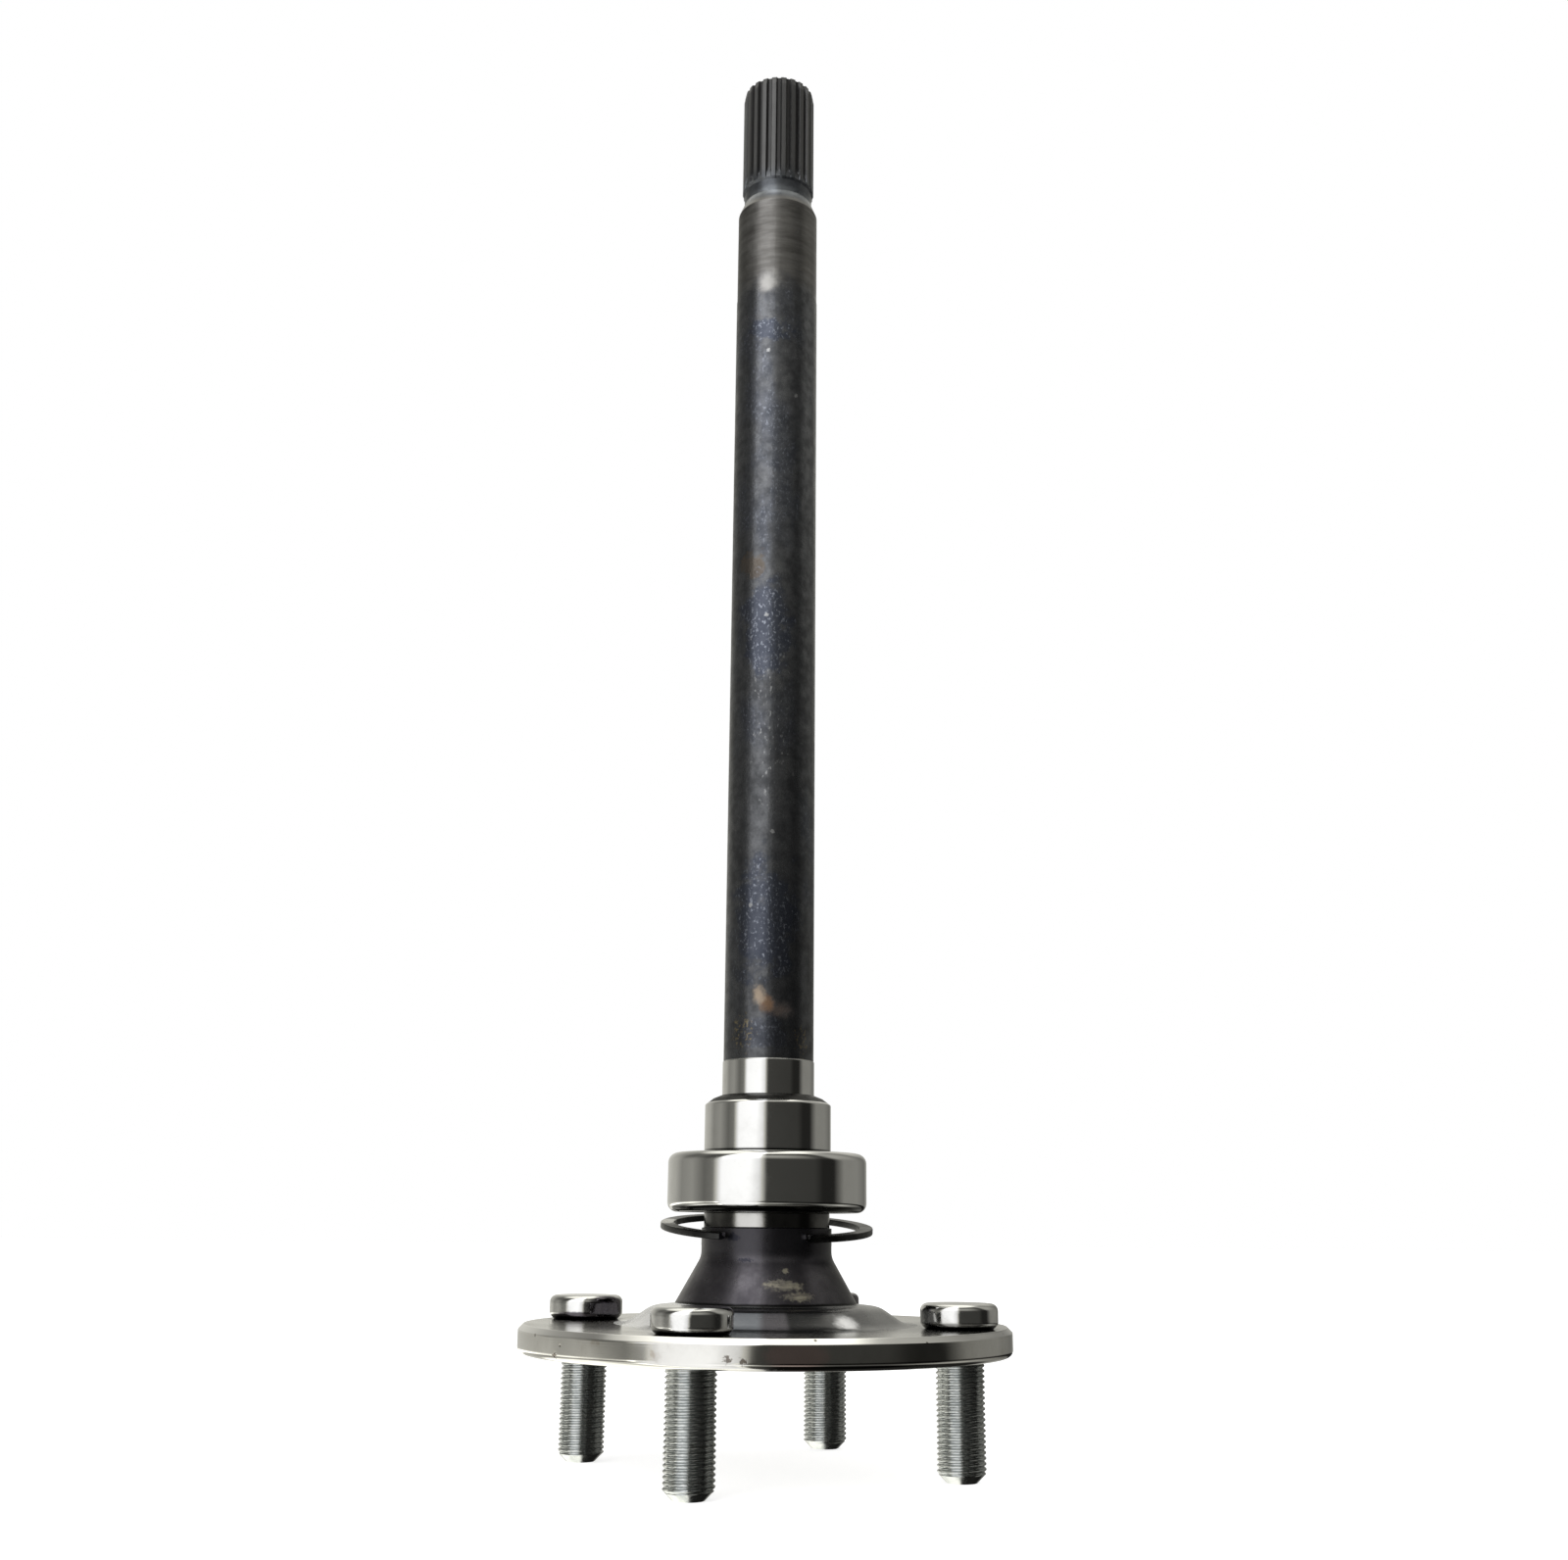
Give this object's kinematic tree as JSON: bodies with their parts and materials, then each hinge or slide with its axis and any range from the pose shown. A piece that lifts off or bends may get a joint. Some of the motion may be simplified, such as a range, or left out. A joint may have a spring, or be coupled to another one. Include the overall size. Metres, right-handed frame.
{
  "type": "axle shaft",
  "caption": "Flanged axle half shaft: splined forged bar, pressed ball bearing and retaining collar, conical neck with a loose snap ring, and a round wheel flange with pressed studs.",
  "frame": {"origin": "centre of the flange's wheel face, on the shaft's axis", "axes": "+Z along the shaft towards the splined end; -Y towards the snap ring's gap"},
  "size_m": [0.1258, 0.1258, 0.4002],
  "materials": {
    "shaft_steel": "dark forging scale with turned, ground and machined faces",
    "stud_steel": "blue-grey zinc with polished heads",
    "bearing_steel": "ground and polished",
    "collar_steel": "ground side with a darker turned top",
    "cage_steel": "pressed sheet",
    "seal_rubber": "matte black",
    "ring_steel": "black spring steel"
  },
  "bodies": {
    "axle": {"axle_shaft": "shaft_steel", "wheel_studs": "stud_steel", "bearing_inner_ring": "bearing_steel", "retaining_collar": "collar_steel"},
    "bearing_outer": {"bearing_outer_ring": "bearing_steel", "bearing_seal_lower": "seal_rubber", "bearing_seal_upper": "seal_rubber"},
    "ball_cage": {"cage_half_lower": "cage_steel", "cage_half_upper": "cage_steel", "cage_rivets": "cage_steel"},
    "rolling_ball_1": {"ball_1": "bearing_steel"},
    "rolling_ball_2": {"ball_2": "bearing_steel"},
    "rolling_ball_3": {"ball_3": "bearing_steel"},
    "rolling_ball_4": {"ball_4": "bearing_steel"},
    "rolling_ball_5": {"ball_5": "bearing_steel"},
    "rolling_ball_6": {"ball_6": "bearing_steel"},
    "rolling_ball_7": {"ball_7": "bearing_steel"},
    "rolling_ball_8": {"ball_8": "bearing_steel"},
    "rolling_ball_9": {"ball_9": "bearing_steel"},
    "loose_ring": {"snap_ring": "ring_steel"}
  },
  "joints": [
    {"name": "outer_ring_spin", "type": "hinge", "parent": "axle", "child": "bearing_outer", "pos_m": [0, 0, 0.0421], "axis": [0, 0, 1], "continuous": true},
    {"name": "cage_spin", "type": "hinge", "parent": "axle", "child": "ball_cage", "pos_m": [0, 0, 0.0421], "axis": [0, 0, 1], "continuous": true},
    {"name": "ball_1_roll", "type": "hinge", "parent": "ball_cage", "child": "rolling_ball_1", "pos_m": [0.01925, 0, 0.0421], "axis": [0, 0, 1], "continuous": true},
    {"name": "ball_2_roll", "type": "hinge", "parent": "ball_cage", "child": "rolling_ball_2", "pos_m": [0.01475, 0.01237, 0.0421], "axis": [0, 0, 1], "continuous": true},
    {"name": "ball_3_roll", "type": "hinge", "parent": "ball_cage", "child": "rolling_ball_3", "pos_m": [0.00334, 0.01896, 0.0421], "axis": [0, 0, 1], "continuous": true},
    {"name": "ball_4_roll", "type": "hinge", "parent": "ball_cage", "child": "rolling_ball_4", "pos_m": [-0.00962, 0.01667, 0.0421], "axis": [0, 0, 1], "continuous": true},
    {"name": "ball_5_roll", "type": "hinge", "parent": "ball_cage", "child": "rolling_ball_5", "pos_m": [-0.01809, 0.00658, 0.0421], "axis": [0, 0, 1], "continuous": true},
    {"name": "ball_6_roll", "type": "hinge", "parent": "ball_cage", "child": "rolling_ball_6", "pos_m": [-0.01809, -0.00658, 0.0421], "axis": [0, 0, 1], "continuous": true},
    {"name": "ball_7_roll", "type": "hinge", "parent": "ball_cage", "child": "rolling_ball_7", "pos_m": [-0.00962, -0.01667, 0.0421], "axis": [0, 0, 1], "continuous": true},
    {"name": "ball_8_roll", "type": "hinge", "parent": "ball_cage", "child": "rolling_ball_8", "pos_m": [0.00334, -0.01896, 0.0421], "axis": [0, 0, 1], "continuous": true},
    {"name": "ball_9_roll", "type": "hinge", "parent": "ball_cage", "child": "rolling_ball_9", "pos_m": [0.01475, -0.01237, 0.0421], "axis": [0, 0, 1], "continuous": true},
    {"name": "snap_ring_slide", "type": "slide", "parent": "axle", "child": "loose_ring", "axis": [0, 0, 1], "range_m": [-0.0037, 0.0024]}
  ],
  "couplings": [
    {"joint": "cage_spin", "follows": "outer_ring_spin", "ratio": 0.60309},
    {"joint": "ball_1_roll", "follows": "outer_ring_spin", "ratio": 2.322},
    {"joint": "ball_2_roll", "follows": "outer_ring_spin", "ratio": 2.322},
    {"joint": "ball_3_roll", "follows": "outer_ring_spin", "ratio": 2.322},
    {"joint": "ball_4_roll", "follows": "outer_ring_spin", "ratio": 2.322},
    {"joint": "ball_5_roll", "follows": "outer_ring_spin", "ratio": 2.322},
    {"joint": "ball_6_roll", "follows": "outer_ring_spin", "ratio": 2.322},
    {"joint": "ball_7_roll", "follows": "outer_ring_spin", "ratio": 2.322},
    {"joint": "ball_8_roll", "follows": "outer_ring_spin", "ratio": 2.322},
    {"joint": "ball_9_roll", "follows": "outer_ring_spin", "ratio": 2.322}
  ]
}
